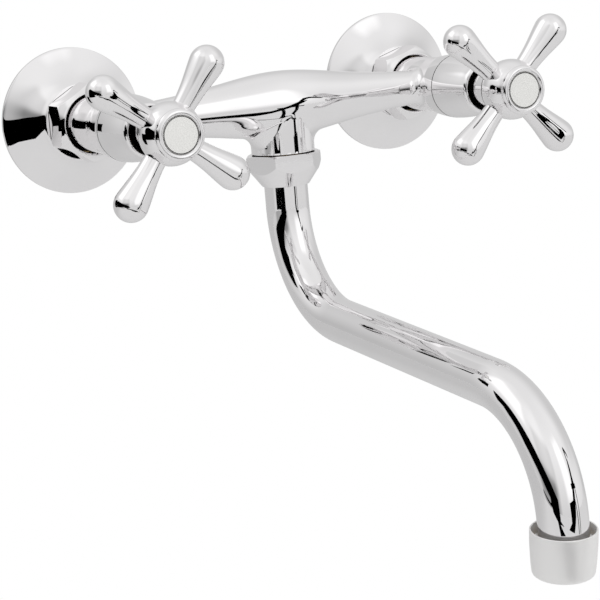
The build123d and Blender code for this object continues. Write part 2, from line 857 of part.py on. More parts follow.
def outlet_bush():
    """Threaded collar brazed on the end of the tube."""
    start = tube_end - aerator_thread_length
    body = ring(tube_r + bush_wall, tube_r + 0.03, start, tube_end)
    return body & lathe(
        (0, start),
        (tube_r + bush_wall - edge_break, start),
        (tube_r + bush_wall, start + edge_break),
        (tube_r + bush_wall, tube_end),
        (0, tube_end),
    )


def aerator_housing():
    """Satin sleeve around the outlet with an open top and a turned-in foot."""
    curve = [(aerator_r - in_by, aerator_length * share) for share, in_by in sleeve_taper]
    well_r = aerator_r - aerator_rim_wall
    thread_r = tube_r + bush_wall + thread_play + 0.03
    pocket_r = insert_r + 0.1
    return lathe_curve(
        curve + [(foot_r, aerator_length)],
        (foot_bore_r, aerator_length),
        (foot_bore_r, insert_end),
        (pocket_r, insert_end),
        (pocket_r, insert_start),
        (thread_r, insert_start),
        (thread_r, aerator_well + 0.4),
        (well_r, aerator_well),
        (well_r, 0.2),
        (well_r + 0.15, 0.0),
        (aerator_r - 0.2, 0.0),
        (aerator_r, 0.25),
    )


def drilled(body, rings, hole_r, z0, z1):
    """Body with rings of small holes, given as (count, ring radius)."""
    for count, radius in rings:
        for k in range(count):
            a = 2 * math.pi * k / count
            body = body - Pos(radius * math.cos(a), radius * math.sin(a), 0) * disc(hole_r, z0 - 1, z1 + 1)
    return body


def aerator_insert():
    """Plastic cell that breaks up the jet."""
    rings = ((1, 0.0), (6, insert_pitch), (12, 2 * insert_pitch))
    body = disc(insert_r, insert_start, insert_end)
    return drilled(body, rings, insert_hole_r, insert_start, insert_end)


def aerator_screen():
    """Thin perforated plate on top of the cell."""
    rings = ((1, 0.0), (6, screen_pitch), (12, 2 * screen_pitch), (18, 3 * screen_pitch))
    body = disc(insert_r - 0.1, screen_start, insert_start)
    return drilled(body, rings, screen_hole_r, screen_start, insert_start)


def aerator_washer():
    """Flat seal between the tube's end and the screen."""
    return ring(insert_r + 0.2, tube_r - tube_wall - 0.1, tube_end, screen_start)


shared = {
    "wall_union": wall_union(),
    "wall_flange": wall_flange(),
    "inlet_washer": inlet_washer(),
    "inlet_bush": inlet_bush(),
    "bonnet": bonnet(),
    "bonnet_seal": bonnet_seal(),
    "spindle": spindle(),
    "spindle_circlip": spindle_circlip(),
    "spindle_o_rings": spindle_o_rings(),
    "jumper": jumper(),
    "jumper_washer": jumper_washer(),
    "jumper_screw": jumper_screw(),
    "shroud": shroud(),
    "handle_screw": handle_screw(),
    "index_cap": index_cap(),
    "index_disc": index_disc(),
}
for side in side_sign:
    place = valve_place(side)
    for name, part in shared.items():
        save(side + "_" + name, place * part)
    save(side + "_union_nut", place * union_nut(nut_turn[side]))
    save(side + "_cross_handle", place * cross_handle(arm_turn[side]))

save("mixer_body", mixer_body())
save("spout_tube", spout_tube())

swivel = {
    "spout_nut": spout_nut(),
    "spout_tail": spout_tail(),
    "spout_o_rings": spout_o_rings(),
    "spout_split_ring": spout_split_ring(),
    "spout_upper_washer": spout_washer(upper_washer_z, upper_washer_thick),
    "spout_lower_washer": spout_washer(lower_washer_z, lower_washer_thick),
}
for name, part in swivel.items():
    save(name, Pos(0, -bar_t, 0) * part)

outlet = {
    "outlet_bush": outlet_bush(),
    "aerator_housing": aerator_housing(),
    "aerator_insert": aerator_insert(),
    "aerator_screen": aerator_screen(),
    "aerator_washer": aerator_washer(),
}
for name, part in outlet.items():
    save(name, outlet_place() * part)
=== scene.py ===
import json
import math

import bmesh
import bpy
import numpy as np
from mathutils import Euler, Matrix, Vector


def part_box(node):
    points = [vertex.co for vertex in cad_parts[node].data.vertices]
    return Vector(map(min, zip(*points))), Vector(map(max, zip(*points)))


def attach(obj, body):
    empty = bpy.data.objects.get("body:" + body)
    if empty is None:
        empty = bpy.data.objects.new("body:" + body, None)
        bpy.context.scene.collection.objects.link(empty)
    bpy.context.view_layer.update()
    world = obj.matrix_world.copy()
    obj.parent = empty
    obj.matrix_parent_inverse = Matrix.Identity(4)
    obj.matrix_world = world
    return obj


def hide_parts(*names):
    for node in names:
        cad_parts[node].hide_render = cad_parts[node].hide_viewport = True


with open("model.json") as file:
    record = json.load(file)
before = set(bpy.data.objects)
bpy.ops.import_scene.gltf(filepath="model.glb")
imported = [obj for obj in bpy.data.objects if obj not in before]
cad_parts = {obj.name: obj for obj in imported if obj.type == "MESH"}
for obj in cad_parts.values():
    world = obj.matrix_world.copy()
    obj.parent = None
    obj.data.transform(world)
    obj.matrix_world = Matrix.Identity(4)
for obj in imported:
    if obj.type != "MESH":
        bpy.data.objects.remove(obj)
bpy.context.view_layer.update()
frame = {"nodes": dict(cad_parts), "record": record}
nodes = frame["nodes"]

# Lengths below are in millimetres in the CAD frame: wall plane y = 0, tap towards -Y, up +Z.
# A value ending in _t is a distance from the wall along a valve axis. A pair is a step in radius, then
# a step along the axis. A list named _curve or _swell holds shares: along the axis, then of the radius.
MM = 0.001
SIDES = {"hot": -1, "cold": 1}


def box_mm(node):
    """Lowest and highest corner of a CAD node in millimetres."""
    low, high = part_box(node)
    return low / MM, high / MM


def reach(node):
    """Back and front distance from the wall, and the radius across X, of a turned valve node."""
    low, high = box_mm(node)
    return -high.y, -low.y, (high.x - low.x) / 2


# Shared facets, edge breaks and clearances
TURNED_STEPS = 144
ROUGH_STEPS = 64
CURVE_STEPS = 28
FINE_EDGE = 0.15
NUT_EDGE = 0.18
BELL_EDGE = 0.12
SLEEVE_EDGE = 0.1
EDGE_SEGMENTS = 3
EDGE_ANGLE = 28
FACE_WEIGHT = 60
JOIN_WITHIN = 1e-4
ON_PLANE = 1e-3
TINY = 1e-9
# Distance of a surface that isn't there, and the cosine that counts as the same direction
FAR = 1e3
SAME_WAY = 0.999
SLIP_FIT = 0.05
CUT_PAST = 1.0

# Drift of a finish: share of colour in metal, and the spans of the noise that colour and roughness follow
METAL_TONE = 0.02
TONE_SPAN = (0.35, 0.65)
HAZE_SPAN = (0.3, 0.7)

# Sizes read from the frame
union_back_t, union_face_t, union_thread_r = reach("hot_wall_union")
_, flange_height, flange_r = reach("hot_wall_flange")
nut_back_t, nut_front_t, _ = reach("hot_union_nut")
shroud_back_t, shroud_front_t, barrel_end_r = reach("hot_shroud")
handle_back_t, hub_face_t, _ = reach("hot_cross_handle")
_, cap_top_t, cap_r = reach("hot_index_cap")
disc_back_t, disc_face_t, disc_r = reach("hot_index_disc")
inlet_centres = box_mm("cold_wall_union")[0].x + box_mm("cold_wall_union")[1].x
body_low, body_high = box_mm("mixer_body")
neck_back_t = -body_high.y
barrel_end_t = -body_low.y
tail_low, tail_high = box_mm("spout_tail")
bar_t = -(tail_low.y + tail_high.y) / 2
nut_low, nut_high = box_mm("spout_nut")

# Wall union and flange
wall_thread_r = 10.48
thread_pitch = 1.814
thread_depth = 1.16
thread_sink = 0.15
thread_flank_share = 0.92
thread_crest_share = 0.12
thread_steps = 48
union_bore_r = 6.0
union_relief_r = 11.6
union_relief_from_t = 0.8
union_relief_to_t = 5.0
union_shoulder_t = 6.0
union_back_chamfer = 0.6
union_face_chamfer = 0.8
union_steps = 96
flange_rim = 1.6
flange_roll_in = 0.5
flange_roll_up = 0.3
flange_sheet = 1.3
flange_sheet_in = 0.8
flange_foot = 0.7
flange_front_r = union_thread_r + 2.8
flange_front_chamfer = 0.4
flange_front_drop = 0.3
flange_hub_wall = 1.1
flange_hub_length = 4.0
# Shares of the way from the rim to the front: in radius, then in height
flange_profile = [(0.0, 0.0), (0.33, 0.24), (0.69, 0.56), (0.915, 0.85), (1.0, 1.0)]

# Union nut
nut_corner_r = 2 * (union_thread_r + 1.2) / math.sqrt(3)
nut_lip_r = union_thread_r - 1.05
nut_mouth_r = nut_lip_r + 0.75
nut_mouth_depth = 1.2
nut_mouth_edge = 0.1
nut_back_in = 1.3
nut_back_chamfer = 0.8
nut_stock = 0.1
# How far outside the lip's radius and behind the front the painted shade in the bore reaches
nut_shade_reach = (0.1, 0.2)
nut_nose_steps = 16
nut_nose = [(0.1, 3.8), (-0.75, 2.6), (-2.18, 1.35), (-3.33, 0.0)]
nut_turn = {"hot": 30.0, "cold": 17.0}

# Body
neck_r = 11.5
neck_length = bar_t - neck_back_t
neck_hidden = 0.6
neck_swell = [(0.0, 0.0), (0.37, 0.0), (0.74, 0.03)]
barrel_swell = [(0.21, 0.19), (0.45, 0.53), (0.74, 0.86), (0.98, 1.0)]
bar_mid_r = 13.7
bar_end_r = 6.8
bar_curve = [(0.0, 0.0), (0.133, 0.072), (0.4, 0.478), (0.667, 0.812), (0.88, 0.971), (1.0, 1.0)]
boss_r = 13.1
boss_end_z = -19.6
boss_fillet = 6.0
barrel_fillet = 4.0
groove_t = bar_t + 4.0
groove_depth = 0.15
groove_half_width = 0.35
barrel_zone = 2.0
rim_wall = 1.8
body_facet = 0.8
body_over = 3.0
curve_before = 6.0
curve_after = 4.0
curve_rise = 0.1
bar_steps = 600
barrel_steps = 400
rough_every = 12
smooth_rounds = 3
settle_rounds = 2
last_settle_rounds = 4

# Shroud
shroud_wall = 1.25
shroud_mouth_r = 9.4
shroud_mouth_edge = (0.15, 0.2)
shroud_front_r = 9.85
shroud_web_front_t = 79.4
shroud_web = 3.0
shroud_web_r = 7.05
shroud_seam = (0.08, 0.1)
# The same for the painted shade in the shroud's mouth
shroud_shade_reach = (0.05, 0.1)
shroud_inside = [(11.1, shroud_web_front_t - 3.4), (11.5, 70.0), (barrel_end_r - shroud_wall, 64.0)]
shroud_steps = 40
shroud_curve = [(0.15, 0.05), (0.35, 0.17), (0.58, 0.36), (0.78, 0.57), (0.91, 0.71), (0.99, 0.9)]

# Cross handle
hub_r = 12.2
hub_t = hub_face_t - 7.5
hub_back_t = hub_t - 9.0
hub_steps = 30
hub_recess = 2.2
hub_floor_t = hub_t + 0.6
hub_hole_r = 2.2
hub_hole_t = hub_t - 4.0
handle_neck_r = 8.0
handle_neck_wall = 1.8
handle_neck_edge = 0.3
arm_count = 4
arm_t = hub_t - 1.5
arm_reach = 30.3
arm_ball_r = 6.7
arm_root_r = 4.3
arm_root_sunk = 3.6
arm_skin_sunk = 1.6
arm_swell = 0.02
arm_waist = 0.25
arm_waist_share = 0.45
arm_ball_lead = 0.6
arm_steps = 72
arm_taper_steps = 24
arm_ball_steps = 20
arm_turn = {"hot": 53.9, "cold": 45.6}

# Bezel and index disc
cap_steps = 32
cap_seat_gap = 0.08
cap_foot = (0.15, 0.25)
cap_sides = [(0.05, 0.33), (-0.25, 0.73)]   # step out, and share of the height
cap_crown = [(1.05, 0.05), (1.8, 0.0)]
cap_mouth = [(0.27, 0.45), (0.0, 0.95)]
cap_floor = 0.8
cap_plug_in = 2.25
cap_plug_wall = 0.85
cap_plug_depth = 3.0
cap_plug_side = 2.7
cap_underside = (0.4, 0.02)
disc_edge = 0.15
circle_inner_r = disc_r - 0.32
circle_outer_r = disc_r - 0.05
circle_sink = 0.1
circle_lift = 0.02

# Spout nut and tube
spout_nut_flats = 28.0
spout_nut_turn = -8.8
spout_nut_side = 4.6
spout_nut_top = (1.6, 0.9)
spout_nut_gap = 0.35
spout_nut_foot = [(0.4, 0.0), (0.65, 0.3)]
spigot_r = 11.75
spigot_end_z = -30.0
tube_r = 9.0
tube_wall = 1.0
tube_facets = 96
tube_top_z = -31.0
tube_drop = 11.0
bend_a_r = 43.9
bend_a_deg = 86.2
run_length = 110.8
bend_b_r = 44.0
bend_b_deg = 92.5
end_length = 6.4
drop_steps = 6
bend_a_steps = 44
run_steps = 24
bend_b_steps = 48
end_steps = 5

# Aerator, measured along the outlet from its open top rim
rim_above_bend = 4.1
aerator_r = 11.85
aerator_length = 16.7
aerator_rim_wall = 0.65
aerator_rim_edge = [(0.15, 0.2), (0.2, 0.25)]
aerator_well = 4.5
aerator_well_chamfer = 0.4
aerator_inside = [(8.3, 14.8), (9.8, 14.8), (9.8, 11.4), (10.2, 11.4)]
sleeve_band = 1.8
# Share of the sleeve's length, and step inwards
sleeve_taper = [(0.22, 0.0), (0.42, 0.13), (0.62, 0.32), (0.8, 0.55), (0.91, 0.78), (0.972, 1.15)]
sleeve_foot_r = 9.8

# Camera, fitted to the photograph
camera_at = (-384.246, -824.521, 76.077)
camera_azimuth = -26.32
camera_elevation = 10.316
camera_roll = -4.757
camera_lens = 126.83
camera_sensor = 36.0
# Metres
camera_clip = (0.05, 30.0)

# Studio: the soft light, and card outlines in mm as (y, z) beside the tap or (x, z) in front of it
LOW_LIGHT = 0.66
TOP_LIGHT = 0.87
# Span of a direction's height, from -1 straight down to 1 straight up, over which the light rises
LIGHT_RISE = (-0.2, 0.9)
# Soft panels of more or less light: azimuth from and to, elevation from and to, softness of the edge,
# all in degrees, and gain. Azimuth 0 is straight out of the wall and 90 is towards +X.
LIGHT_PANELS = [
    (3, 34, 4, 48, 7, 0.33),
    (-75, 85, -12, 60, 25, 0.10),
    (-147, -92, 33, 62, 6, 0.28),
    (-160, -40, 15, 75, 15, 0.08),
    (-125, -40, 2, 18, 6, -0.22),
    (-95, -33, -24, 14, 7, -0.30),
    (-80, -31, 10, 44, 6, -0.19),
    (75, 180, 12, 50, 20, -0.12),
    (25, 100, -20, 12, 9, 0.12),
    (-185, -142, -8, 45, 12, -0.16),
]
FLOOR_WHITE = 0.85
FLOOR_WHITE_AT_WALL = 0.66
FLOOR_ROUGHNESS = 0.8
FLOOR_HALF = 4000
FLOOR_Z = -480
# Metres of y between which the floor darkens towards the wall
FLOOR_SHADE = (-0.19, 0.92)
# Black cards: the axis that each stands across, its place on it, and its outline in the other two axes
CARDS = [
    ("x", -1000, [
        (600, 200), (550, 330), (300, 385), (0, 300), (-375, 205), (-875, 125), (-1400, 0), (-1400, -420),
        (-800, -215), (-560, -190), (-560, -110), (-375, -88), (-200, -64), (0, -65), (300, -75), (400, 0),
        (500, 30),
    ]),
    ("x", -1000, [(-620, -168), (-125, -160), (-125, -182), (-620, -202)]),
    ("x", -290, [(-150, 10), (-120, 14), (-60, 40), (30, 50), (30, -42), (-150, -42)]),
    ("x", -150, [(-67, 5), (-15, 5), (-15, -15), (-42, -32), (-67, -32)]),
    ("x", -120, [(-14, 12), (10, 12), (10, -4), (-14, -4)]),
    ("y", -450, [
        (-30, -190), (22, -170), (22, -112), (95, -108), (165, -35), (215, 30), (280, 60),
        (250, 5), (200, -60), (150, -110), (110, -160), (60, -205),
    ]),
    ("y", -450, [
        (214, -260), (211, -150), (203, -60), (208, -15), (221, 35), (238, 75), (258, 116), (298, 136),
        (342, 124), (390, 100), (358, 64), (326, 86), (300, 98), (278, 87), (258, 60), (243, 25), (227, -15),
        (224, -60), (232, -150), (236, -260),
    ]),
    ("y", -450, [(118, -55), (256, -58), (256, -76), (118, -74)]),
    ("y", -450, [
        (132, -84), (148, -84), (162, -148), (177, -228), (192, -308), (200, -372), (190, -395), (120, -398),
        (30, -340), (-60, -325), (-180, -262), (-298, -185), (-298, -145), (-180, -195), (-100, -215),
        (0, -255), (40, -290), (60, -335), (125, -380), (180, -378), (170, -308), (158, -228), (145, -148),
    ]),
    ("y", -450, [(-285, -64), (-480, -74), (-480, -98), (-285, -90)]),
    ("y", -450, [(-110, -186), (-300, -160), (-560, -110), (-560, -190), (-300, -192)]),
]


def valve_place(side):
    """Matrix whose Z runs out of the wall along one valve axis."""
    x = SIDES[side] * inlet_centres / 2
    return Matrix(((1, 0, 0, x), (0, 0, -1, 0), (0, 1, 0, 0), (0, 0, 0, 1)))


def spline(points, steps=CURVE_STEPS):
    """Points along a natural cubic spline through the given ones."""
    p = np.array(points, float)
    s = np.concatenate([[0.0], np.cumsum(np.hypot(*np.diff(p, axis=0).T))])
    h = np.diff(s)
    n = len(p)
    a = np.eye(n)
    b = np.zeros((n, 2))
    for i in range(1, n - 1):
        a[i, i - 1 : i + 2] = (h[i - 1], 2 * (h[i - 1] + h[i]), h[i])
        b[i] = 6 * ((p[i + 1] - p[i]) / h[i] - (p[i] - p[i - 1]) / h[i - 1])
    m = np.linalg.solve(a, b)
    out = []
    for u in np.linspace(0.0, s[-1], steps + 1):
        i = min(int(np.searchsorted(s, u, side="right")) - 1, n - 2)
        near, far = u - s[i], s[i + 1] - u
        bend = (m[i] * far**3 + m[i + 1] * near**3) / (6 * h[i])
        line = (p[i] / h[i] - m[i] * h[i] / 6) * far + (p[i + 1] / h[i] - m[i + 1] * h[i] / 6) * near
        out.append(tuple(bend + line))
    return out


def between(a, b, share):
    """Value a given share of the way from a to b."""
    return a + (b - a) * share


def turned(outline, closed=True, steps=TURNED_STEPS):
    """Mesh turned about Z from a (radius, height) outline."""
    bm = bmesh.new()
    verts = [bm.verts.new((r, 0.0, z)) for r, z in outline]
    pairs = list(zip(verts, verts[1:] + verts[:1])) if closed else list(zip(verts, verts[1:]))
    edges = [bm.edges.new(pair) for pair in pairs if max(abs(v.co.x) for v in pair) > TINY]
    bmesh.ops.spin(
        bm, geom=verts + edges, cent=(0, 0, 0), axis=(0, 0, 1), angle=2 * math.pi, steps=steps,
        use_merge=True, use_duplicate=False,
    )
    bmesh.ops.remove_doubles(bm, verts=bm.verts, dist=JOIN_WITHIN)
    bmesh.ops.recalc_face_normals(bm, faces=bm.faces)
    return bm


def joined(*parts):
    """One bmesh from several, each given alone or with a matrix."""
    whole = bmesh.new()
    for part in parts:
        bm, place = part if isinstance(part, tuple) else (part, Matrix.Identity(4))
        bm.transform(place)
        mesh = bpy.data.meshes.new("part")
        bm.to_mesh(mesh)
        bm.free()
        whole.from_mesh(mesh)
        bpy.data.meshes.remove(mesh)
    return whole


def finished(name, bm, material, body, stands_for=(), place=None, edge=0.0, weighted=True):
    """Object from a bmesh in millimetres, on its body, with its edges broken where edge is given."""
    if place is not None:
        bm.transform(place)
    bm.transform(Matrix.Scale(MM, 4))
    mesh = bpy.data.meshes.new(name)
    bm.to_mesh(mesh)
    bm.free()
    mesh.shade_smooth()
    mesh.materials.append(material)
    # Faces marked 1 take the near-black painted shade of bores and gaps
    if any(polygon.material_index for polygon in mesh.polygons):
        mesh.materials.append(painted_shade)
    piece = bpy.data.objects.new(name, mesh)
    bpy.context.scene.collection.objects.link(piece)
    if edge:
        bevel = piece.modifiers.new("edge_break", "BEVEL")
        bevel.width = edge * MM
        bevel.segments = EDGE_SEGMENTS
        bevel.limit_method = "ANGLE"
        bevel.angle_limit = math.radians(EDGE_ANGLE)
    if weighted:
        normals = piece.modifiers.new("face_weight", "WEIGHTED_NORMAL")
        normals.weight = FACE_WEIGHT
        normals.keep_sharp = True
    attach(piece, body)
    if stands_for:
        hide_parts(*stands_for)
    return piece


def paint_shade_inside(bm, mouth_r, mouth_t, margin):
    """Gives the faces inside a bore and behind its mouth painted shade: a near-black material in place of
    the shadow deep inside.
    """
    out, back = margin
    for face in bm.faces:
        middle = face.calc_center_median()
        if math.hypot(middle.x, middle.y) < mouth_r + out and middle.z < mouth_t - back:
            face.material_index = 1


def boolean(bm, cutter, operation):
    """Exact boolean of two bmeshes."""
    objects = []
    for part in (bm, cutter):
        mesh = bpy.data.meshes.new("boolean_part")
        part.to_mesh(mesh)
        part.free()
        obj = bpy.data.objects.new("boolean_part", mesh)
        bpy.context.scene.collection.objects.link(obj)
        objects.append(obj)
    tool = objects[0].modifiers.new("cut", "BOOLEAN")
    tool.operation = operation
    tool.solver = "EXACT"
    tool.object = objects[1]
    depsgraph = bpy.context.evaluated_depsgraph_get()
    result = bmesh.new()
    result.from_mesh(objects[0].evaluated_get(depsgraph).to_mesh())
    for obj in objects:
        mesh = obj.data
        bpy.data.objects.remove(obj)
        bpy.data.meshes.remove(mesh)
    return result


def hexagon(corner_r, z0, z1, turn):
    """Hexagonal prism about Z."""
    bm = bmesh.new()
    bmesh.ops.create_cone(
        bm, cap_ends=True, cap_tris=False, segments=6, radius1=corner_r, radius2=corner_r, depth=z1 - z0
    )
    spin = Matrix.Rotation(math.radians(turn + 90), 3, "Z")
    bmesh.ops.rotate(bm, verts=bm.verts, cent=(0, 0, 0), matrix=spin)
    bmesh.ops.translate(bm, verts=bm.verts, vec=(0, 0, (z0 + z1) / 2))
    return bm


def socket(group, name, way, value=None):
    """Named number socket of a node group."""
    item = group.interface.new_socket(name=name, in_out=way, socket_type="NodeSocketFloat")
    if value is not None:
        item.default_value = value


def surface_marks_group():
    """Polishing haze and slow waviness that every finish shares."""
    group = bpy.data.node_groups.new("surface_marks", "ShaderNodeTree")
    socket(group, "Grain Scale", "INPUT", value=900.0)
    socket(group, "Wave Scale", "INPUT", value=60.0)
    socket(group, "Haze", "OUTPUT")
    socket(group, "Wave", "OUTPUT")
    add, link = group.nodes.new, group.links.new
    inside, outside = add("NodeGroupInput"), add("NodeGroupOutput")
    where = add("ShaderNodeTexCoord")
    grain = add("ShaderNodeTexNoise")
    grain.inputs["Detail"].default_value = 4.0
    wave = add("ShaderNodeTexNoise")
    wave.inputs["Detail"].default_value = 1.0
    link(where.outputs["Object"], grain.inputs["Vector"])
    link(where.outputs["Object"], wave.inputs["Vector"])
    link(inside.outputs["Grain Scale"], grain.inputs["Scale"])
    link(inside.outputs["Wave Scale"], wave.inputs["Scale"])
    link(grain.outputs["Fac"], outside.inputs["Haze"])
    link(wave.outputs["Fac"], outside.inputs["Wave"])
    return group


marks = surface_marks_group()


def new_material(name):
    """Empty material with its shader and output."""
    material = bpy.data.materials.new(name)
    material.use_nodes = True
    tree = material.node_tree
    return material, tree, tree.nodes["Principled BSDF"]


def toned(tree, group, shader, colour, spread):
    """Base colour that drifts by a small share with the slow wave."""
    ramp = tree.nodes.new("ShaderNodeValToRGB")
    for stop, place, share in zip(ramp.color_ramp.elements, TONE_SPAN, (1.0 - spread, 1.0)):
        stop.position = place
        stop.color = (*(part * share for part in colour), 1.0)
    tree.links.new(group.outputs["Wave"], ramp.inputs["Fac"])
    tree.links.new(ramp.outputs["Color"], shader.inputs["Base Color"])


def metal(name, colour, smoothest, roughest, wave_height=0.0, grain=900.0, metallic=1.0):
    """Metal whose roughness follows the polishing haze."""
    material, tree, shader = new_material(name)
    shader.inputs["Metallic"].default_value = metallic
    group = tree.nodes.new("ShaderNodeGroup")
    group.node_tree = marks
    toned(tree, group, shader, colour, METAL_TONE)
    group.inputs["Grain Scale"].default_value = grain
    spread = tree.nodes.new("ShaderNodeMapRange")
    spread.inputs["From Min"].default_value, spread.inputs["From Max"].default_value = HAZE_SPAN
    spread.inputs["To Min"].default_value = smoothest
    spread.inputs["To Max"].default_value = roughest
    tree.links.new(group.outputs["Haze"], spread.inputs["Value"])
    tree.links.new(spread.outputs["Result"], shader.inputs["Roughness"])
    if wave_height:
        bump = tree.nodes.new("ShaderNodeBump")
        bump.inputs["Strength"].default_value = 1.0
        bump.inputs["Distance"].default_value = wave_height * MM
        tree.links.new(group.outputs["Wave"], bump.inputs["Height"])
        tree.links.new(bump.outputs["Normal"], shader.inputs["Normal"])
    return material


def plain_stuff(name, colour, roughness, tone=0.06, haze=0.08):
    """Non-metal whose roughness follows the same haze."""
    material, tree, shader = new_material(name)
    group = tree.nodes.new("ShaderNodeGroup")
    group.node_tree = marks
    toned(tree, group, shader, colour, tone)
    spread = tree.nodes.new("ShaderNodeMapRange")
    spread.inputs["To Min"].default_value = roughness - haze
    spread.inputs["To Max"].default_value = roughness + haze
    tree.links.new(group.outputs["Haze"], spread.inputs["Value"])
    tree.links.new(spread.outputs["Result"], shader.inputs["Roughness"])
    return material


# Finishes: colour, then a metal's least and greatest roughness, or the mean roughness of the rest
chrome = metal("mirror_chrome", (0.875, 0.865, 0.87), 0.015, 0.035, wave_height=0.02)
satin = metal("satin_chrome", (0.93, 0.922, 0.915), 0.34, 0.42, grain=2500.0, metallic=0.6)
brass = metal("turned_brass", (0.72, 0.53, 0.26), 0.22, 0.38)
steel = metal("plain_steel", (0.60, 0.60, 0.59), 0.25, 0.4)
rubber = plain_stuff("seal_rubber", (0.02, 0.02, 0.02), 0.7)
acetal = plain_stuff("moulded_acetal", (0.80, 0.80, 0.77), 0.45)
white_plate = plain_stuff("white_index_plate", (0.93, 0.925, 0.90), 0.3, tone=0.02, haze=0.03)
edge_ring_black = plain_stuff("disc_edge_ring", (0.02, 0.02, 0.02), 0.4)
# Painted shade: near-black metal on the faces inside bores, mouths and gaps, where the real chrome and brass
# only lie in shadow
painted_shade = metal("painted_shade_bore", (0.035, 0.032, 0.03), 0.5, 0.7)

SLOT_MATERIALS = {
    "chrome": chrome,
    "satin_chrome": satin,
    "brass": brass,
    "steel": steel,
    "seal_rubber": rubber,
    "acetal": acetal,
    "white_disc": white_plate,
}


def dress_cad_nodes():
    """Each CAD node gets the material of its slot."""
    slot_of = {row["node"]: row["material_slot"] for row in frame["record"]["subparts"]}
    for name, node in nodes.items():
        node.data.materials.clear()
        node.data.materials.append(SLOT_MATERIALS[slot_of[name]])


def wall_flange(side):
    """Cone against the wall with a thin rim."""
    rim = (flange_r - flange_roll_in, flange_rim + flange_roll_up)
    front = (flange_front_r, flange_height - flange_front_drop)
    shape = [(between(rim[0], front[0], a), between(rim[1], front[1], b)) for a, b in flange_profile]
    under = [(r - flange_sheet_in, h - flange_sheet) for r, h in (shape[2], shape[1])]
    inner_r = union_thread_r + SLIP_FIT
    sleeve_back_t = flange_height - flange_hub_length
    outline = spline(shape) + [
        (flange_front_r - flange_front_chamfer, flange_height),
        (inner_r, flange_height),
        (inner_r, sleeve_back_t),
        (flange_front_r - flange_hub_wall, sleeve_back_t),
        *under,
        (flange_r - flange_sheet, flange_foot),
        (flange_r - flange_sheet, 0.0),
        (flange_r, 0.0),
        (flange_r, flange_rim),
    ]
    node = side + "_wall_flange"
    finished(node + "_chromed", turned(outline), chrome, "fixed", [node], valve_place(side), edge=FINE_EDGE)


def wall_union(side):
    """Brass union with a cut pipe thread at the wall end."""
    core_r = wall_thread_r - thread_depth
    body = turned([
        (union_bore_r, union_back_t),
        (core_r - union_back_chamfer, union_back_t),
        (core_r, union_back_t + union_back_chamfer),
        (core_r, 0.0),
        (union_relief_r, union_relief_from_t),
        (union_relief_r, union_relief_to_t),
        (union_thread_r, union_shoulder_t),
        (union_thread_r, union_face_t - union_face_chamfer),
        (union_thread_r - union_face_chamfer, union_face_t),
        (union_bore_r, union_face_t),
    ], steps=union_steps)
    thread = bmesh.new()
    half = thread_pitch / 2
    start_t = union_back_t + half
    turns = (-start_t - half) / thread_pitch
    flank, crest = half * thread_flank_share, half * thread_crest_share
    low = thread.verts.new((core_r - thread_sink, 0, start_t - flank))
    crest_a = thread.verts.new((wall_thread_r, 0, start_t - crest))
    crest_b = thread.verts.new((wall_thread_r, 0, start_t + crest))
    high = thread.verts.new((core_r - thread_sink, 0, start_t + flank))
    ring = [low, crest_a, crest_b, high]
    edges = [thread.edges.new(pair) for pair in zip(ring, ring[1:] + ring[:1])]
    steps = int(thread_steps * turns)
    bmesh.ops.spin(
        thread, geom=ring + edges, cent=(0, 0, 0), axis=(0, 0, 1), angle=2 * math.pi * turns,
        dvec=(0, 0, turns * thread_pitch / steps), steps=steps, use_duplicate=False,
    )
    bmesh.ops.holes_fill(thread, edges=thread.edges, sides=4)
    bmesh.ops.recalc_face_normals(thread, faces=thread.faces)
    node = side + "_wall_union"
    finished(node + "_threaded", joined(body, thread), brass, "fixed", [node], valve_place(side))


def union_nut(side):
    """Hexagonal nut with a rounded front and an inner lip."""
    nose = spline([(nut_corner_r + dr, nut_front_t - back) for dr, back in nut_nose], nut_nose_steps)
    envelope = turned(nose + [
        (0.0, nut_front_t),
        (0.0, nut_back_t),
        (nut_corner_r - nut_back_in, nut_back_t),
        (nut_corner_r + nut_stock, nut_back_t + nut_back_chamfer),
    ])
    thread_r = union_thread_r + SLIP_FIT
    bore = turned([
        (0.0, nut_back_t - CUT_PAST),
        (thread_r, nut_back_t - CUT_PAST),
        (thread_r, neck_back_t),
        (nut_lip_r, neck_back_t),
        (nut_lip_r, nut_front_t - nut_mouth_depth),
        (nut_mouth_r, nut_front_t - nut_mouth_edge),
        (nut_mouth_r, nut_front_t + CUT_PAST),
        (0.0, nut_front_t + CUT_PAST),
    ])
    bm = boolean(hexagon(nut_corner_r, nut_back_t, nut_front_t, nut_turn[side]), envelope, "INTERSECT")
    bm = boolean(bm, bore, "DIFFERENCE")
    # Painted shade: the bore and the inside of the lip take the near-black material
    paint_shade_inside(bm, nut_lip_r, nut_front_t, nut_shade_reach)
    node = side + "_union_nut"
    finished(node + "_chromed", bm, chrome, "fixed", [node], valve_place(side), edge=NUT_EDGE)


def body_primitives():
    """Radius curves of the crossbar and of a barrel, as dense (place, radius) tables."""
    half = inlet_centres / 2
    right = [(half * a, between(bar_mid_r, bar_end_r, b)) for a, b in bar_curve]
    bar = np.array(spline([(-x, r) for x, r in reversed(right[1:])] + right, bar_steps))
    swell = barrel_end_r - neck_r
    length = barrel_end_t - bar_t
    points = [(neck_back_t - curve_before, neck_r)]
    points += [(neck_back_t + a * neck_length, neck_r + b * swell) for a, b in neck_swell]
    points += [(bar_t + length * a, neck_r + swell * b) for a, b in barrel_swell]
    points.append((barrel_end_t + curve_after, barrel_end_r + curve_rise))
    return bar, np.array(spline(points, barrel_steps))


